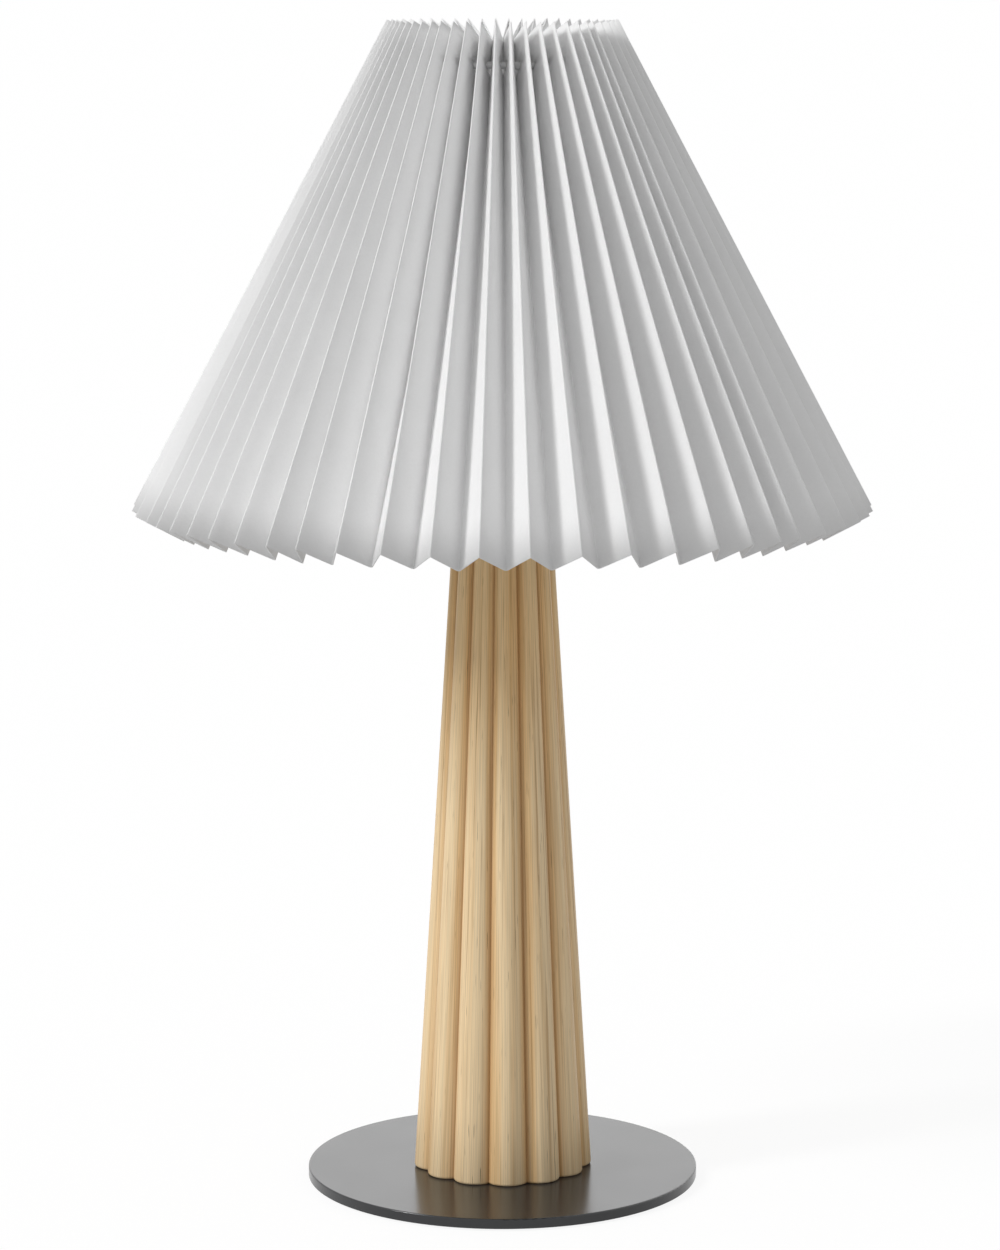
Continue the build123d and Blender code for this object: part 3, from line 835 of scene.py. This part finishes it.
up_to_neck = []
for row in range(1, column_rows + 1):
    part = row / column_rows
    up_to_neck.append((1 + (neck_scale - 1) * part, (column_height - edge_ease) * part))
round_the_foot = []
for step in range(1, ease_steps + 1):
    bend = pi / 2 * step / ease_steps
    round_the_foot.append((1 - edge_ease * (1 - cos(bend)) / crest, -edge_ease * sin(bend)))
for rings in (up_to_neck, round_the_foot):
    last_rim = grow_rings(bm, foot_rim, rings)
    bmesh.ops.contextual_create(bm, geom=last_rim)
bmesh.ops.recalc_face_normals(bm, faces=bm.faces)
column = finish_piece(
    bm, "reeded_column", "stand", wood, ["column"], smooth_angle=35.0,
)

# %% [markdown]
# The cable outlet is drilled at the back with a Boolean. It needs a cutter: a stepped plug with the
# bore's radius inside and the flange's radius outside. The cutter is removed once the cut is part
# of the column's own mesh.

# %% Drill the cable outlet
outlet_reed = 6
outlet_height = 0.014
outlet_seat_depth = 0.0032
outlet_bore_radius = 0.00505
outlet_flange_radius = 0.0066
cut_depth = 0.0125
cut_overrun = 0.006
cutter_sides = 64

outlet_angle = reed_turn + outlet_reed * 2 * half_reed
taper = (column_foot_radius - column_neck_radius) / column_height
outlet_seat = column_foot_radius - taper * outlet_height - outlet_seat_depth
flange_scale = outlet_flange_radius / outlet_bore_radius
cutter_end = cut_depth + outlet_seat_depth + cut_overrun

bm = bmesh.new()
bmesh.ops.create_circle(bm, cap_ends=True, segments=cutter_sides, radius=outlet_bore_radius)
bmesh.ops.translate(bm, verts=bm.verts, vec=(0, 0, -cut_depth))
plug_rings = [(1.0, cut_depth), (flange_scale, cut_depth), (flange_scale, cutter_end)]
bmesh.ops.contextual_create(bm, geom=grow_rings(bm, bm.edges[:], plug_rings))
bmesh.ops.recalc_face_normals(bm, faces=bm.faces)
outwards = around(1.0, 0.0, outlet_angle)
turned = outwards.to_track_quat("Z", "Y").to_matrix()
bmesh.ops.rotate(bm, verts=bm.verts, cent=(0, 0, 0), matrix=turned)
seat = outwards * outlet_seat + Vector((0, 0, column_low[2] + outlet_height))
bmesh.ops.translate(bm, verts=bm.verts, vec=seat)
cutter = mesh_object(bm, "outlet_cutter")


def cut_away(piece, cutter):
    """Subtracts a cutter from a piece for good, and removes the cutter."""
    cut = piece.modifiers.new("cut", "BOOLEAN")
    cut.operation = "DIFFERENCE"
    cut.object = cutter
    bpy.context.view_layer.update()
    result = piece.evaluated_get(bpy.context.evaluated_depsgraph_get())
    mesh = bpy.data.meshes.new_from_object(result)
    piece.modifiers.remove(cut)
    old = piece.data
    piece.data = mesh
    bpy.data.meshes.remove(old)
    bpy.data.meshes.remove(cutter.data)
    mesh.name = piece.name


cut_away(column, cutter)
print("column faces after drilling:", len(column.data.polygons))

# %% [markdown]
# ## Powder coat
# The plate is steel under a dark grey powder coat: satin, with a very fine orange peel. A polished
# black would mirror the column. The coat's roughness spreads the white studio into a grey sheen
# instead.

# %% Finish of the plate
coat_colour = (0.022, 0.023, 0.025, 1.0)
tone_reach = 0.6


def uneven(tree, tone, low, high):
    """A value that follows the clouds' tone from a low to a high one."""
    return remap(tree, tone["Tone"], -tone_reach, tone_reach, low, high)


powder_coat, tree, shader = new_material("powder_coat")
coords = object_coordinates(tree)
tone = use_group(tree, clouds, Vector=coords, Color=coat_colour, Size=0.03, Amount=0.10)
speck = use_group(tree, clouds, Vector=coords, Color=tone["Color"], Size=0.0006, Amount=0.12)
roughness = uneven(tree, tone, low=0.18, high=0.24)
fill(tree, shader, {"Base Color": speck["Color"], "Roughness": roughness})
grainy(tree, shader, coords, size=0.0007, height=0.00001)
print("powder coat made")

# %% [markdown]
# ## Metals
# Zinc plate, brass, bare aluminium and the grey carrier wire differ in colour and in gloss, and all
# of them show fine drawing marks. One function makes them from those values.

# %% Finishes of the metal pieces
def metal_finish(name, colour, rough, cloud_size, metallic=1.0):
    """A metal with faint clouds, drawing marks along Z and a roughness between two values."""
    material, tree, shader = new_material(name)
    coords = object_coordinates(tree)
    tone = use_group(tree, clouds, Vector=coords, Color=colour, Size=cloud_size, Amount=0.14)
    marks = streak(tree, coords, width=0.0003, length=0.012, detail=2.0)
    smooth, coarse = rough
    fill(tree, shader, {
        "Base Color": tone["Color"],
        "Metallic": metallic,
        "Roughness": remap(tree, marks, low=0.3, high=0.7, to_low=smooth, to_high=coarse),
    })
    bump(tree, shader, marks, distance=0.000008)
    return material


zinc = metal_finish(
    "zinc_plate", (0.60, 0.61, 0.62, 1.0), rough=(0.28, 0.45), cloud_size=0.004,
)
brass = metal_finish(
    "bright_brass", (0.72, 0.52, 0.22, 1.0), rough=(0.22, 0.36), cloud_size=0.006,
)
aluminium = metal_finish(
    "bare_aluminium", (0.74, 0.74, 0.73, 1.0), rough=(0.26, 0.42), cloud_size=0.005,
)
carrier_paint = metal_finish(
    "grey_carrier_paint", (0.60, 0.60, 0.60, 1.0), rough=(0.42, 0.55), cloud_size=0.008,
    metallic=0.0,
)
print("metals made")

# %% [markdown]
# ## Plastics, ceramic and foam
# Moulded plastic has a fine spark-eroded grain, unglazed ceramic is chalky with tiny dark specks,
# and the pad's foam is full of closed cells. They share a function too: clouds for tone, relief for
# grain.

# %% Finishes of the moulded pieces
rough_spread = 0.05


def moulded_finish(name, colour, rough, cloud, grain, passes=0.0):
    """A moulded material, through which some light passes if it is opal.

    The cloud is a size and an amount of tone, and the grain is a size and a height.
    """
    material, tree, shader = new_material(name, colour if passes else None, passes)
    coords = object_coordinates(tree)
    size, amount = cloud
    tone = use_group(tree, clouds, Vector=coords, Color=colour, Size=size, Amount=amount)
    roughness = uneven(tree, tone, rough - rough_spread, rough + rough_spread)
    fill(tree, shader, {"Base Color": tone["Color"], "Roughness": roughness})
    grainy(tree, shader, coords, *grain)
    return material


white_plastic = moulded_finish(
    "white_plastic", (0.80, 0.80, 0.78, 1.0), rough=0.42,
    cloud=(0.012, 0.03), grain=(0.0005, 0.00002),
)
black_plastic = moulded_finish(
    "black_plastic", (0.022, 0.022, 0.023, 1.0), rough=0.48,
    cloud=(0.006, 0.12), grain=(0.0004, 0.00003),
)
black_glass = moulded_finish(
    "black_glass", (0.012, 0.012, 0.014, 1.0), rough=0.14,
    cloud=(0.004, 0.2), grain=(0.002, 0.00001),
)
ceramic = moulded_finish(
    "unglazed_ceramic", (0.80, 0.77, 0.70, 1.0), rough=0.75,
    cloud=(0.0012, 0.08), grain=(0.0003, 0.00003),
)
bulb_white = moulded_finish(
    "bulb_housing_white", (0.82, 0.82, 0.80, 1.0), rough=0.30,
    cloud=(0.02, 0.02), grain=(0.001, 0.00001),
)
bulb_opal = moulded_finish(
    "bulb_opal", (0.87, 0.87, 0.85, 1.0), rough=0.38,
    cloud=(0.02, 0.02), grain=(0.0008, 0.00001), passes=0.25,
)
board = moulded_finish(
    "white_board", (0.80, 0.80, 0.79, 1.0), rough=0.35,
    cloud=(0.005, 0.03), grain=(0.0006, 0.00001),
)
foam = moulded_finish(
    "foot_foam", (0.030, 0.030, 0.031, 1.0), rough=0.92,
    cloud=(0.0008, 0.45), grain=(0.0006, 0.0001),
)
print("moulded finishes made")

# %% [markdown]
# ## Dress the bare nodes
# The nodes whose shape is already right keep their mesh and only get a finish. The two nodes that
# are replaced are hidden, and get the finish of the piece that stands for them.

# %% Give each node its finish
node_finishes = {
    "base_pad": foam,
    "base_plate": powder_coat,
    "plate_screws": zinc,
    "column": wood,
    "cable_bush": black_plastic,
    "threaded_tube": zinc,
    "foot_washer": zinc,
    "foot_nut": zinc,
    "top_washer": zinc,
    "top_nut": zinc,
    "holder_cap": white_plastic,
    "lock_screw": zinc,
    "holder_insert": ceramic,
    "side_contact": brass,
    "centre_contact": brass,
    "terminal_screws": brass,
    "holder_skirt": white_plastic,
    "ring_nut": white_plastic,
    "carrier_collar": carrier_paint,
    "carrier_legs": carrier_paint,
    "carrier_ring": carrier_paint,
    "pleated_shade": paper,
    "bulb_button": brass,
    "bulb_insulator": black_glass,
    "bulb_cap": aluminium,
    "bulb_housing": bulb_white,
    "led_board": board,
    "bulb_dome": bulb_opal,
}
for name, finish in node_finishes.items():
    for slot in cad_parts[name].material_slots:
        slot.material = finish
print(len(node_finishes), "nodes dressed")
